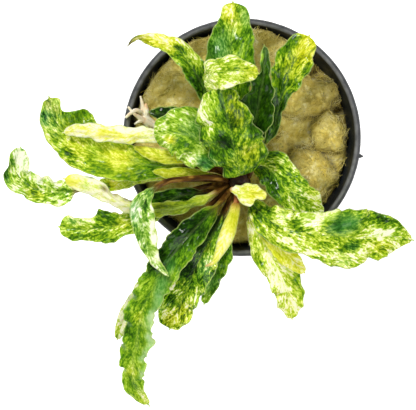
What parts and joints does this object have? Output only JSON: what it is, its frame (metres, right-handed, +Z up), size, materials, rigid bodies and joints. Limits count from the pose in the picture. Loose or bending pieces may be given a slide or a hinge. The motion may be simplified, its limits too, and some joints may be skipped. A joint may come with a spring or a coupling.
{
  "type": "potted variegated bucephalandra plant",
  "caption": "Variegated bucephalandra with long wavy cream and green leaves, growing in a slotted black plastic net pot filled with stone wool.",
  "frame": {"origin": "centre of the pot's underside", "axes": "+Z up through the pot, +Y towards the back leaf, +X towards the long right leaf"},
  "size_m": [0.0882, 0.088, 0.0802],
  "materials": {
    "pot_plastic": "moulded black polypropylene with a slight sheen",
    "stone_wool": "damp olive-yellow mineral fibre, matted and torn in lumps",
    "rhizome": "dark red-brown fleshy stem",
    "roots": "pale cream, waxy",
    "leaf_green": "glossy green leaf streaked with cream",
    "leaf_dark": "glossy dark green leaf with pale veins",
    "leaf_pale": "glossy leaf mostly cream and pale green",
    "leaf_yellow": "glossy young yellow leaf"
  },
  "bodies": {
    "root": {"net_pot": "pot_plastic", "stone_wool_plug": "stone_wool", "stone_wool_tuft_back": "stone_wool", "stone_wool_tuft_right": "stone_wool", "stone_wool_tuft_front": "stone_wool", "rhizome": "rhizome", "roots": "roots", "leaf_back": "leaf_green", "leaf_back_left_hooked": "leaf_green", "leaf_inner_right": "leaf_dark", "leaf_back_right": "leaf_green", "leaf_centre_right": "leaf_green", "leaf_centre_left": "leaf_pale", "leaf_centre_curled": "leaf_pale", "leaf_right_inner": "leaf_green", "leaf_right_long": "leaf_pale", "leaf_front_right": "leaf_pale", "leaf_front_right_yellow": "leaf_yellow", "leaf_front_dark": "leaf_dark", "leaf_front_broad": "leaf_green", "leaf_front_long": "leaf_green", "leaf_front_pale": "leaf_pale", "leaf_left_hanging": "leaf_pale", "leaf_left_turned": "leaf_pale", "leaf_left_low": "leaf_green", "leaf_left_far": "leaf_green", "leaf_left_broad": "leaf_green", "leaf_left_shaded": "leaf_dark", "leaf_left_pale": "leaf_pale", "leaf_left_olive": "leaf_pale", "leaf_left_olive_short": "leaf_pale", "leaf_left_inner": "leaf_dark", "young_leaf_spear": "leaf_yellow", "young_leaf_curled": "leaf_yellow"}
  },
  "joints": []
}
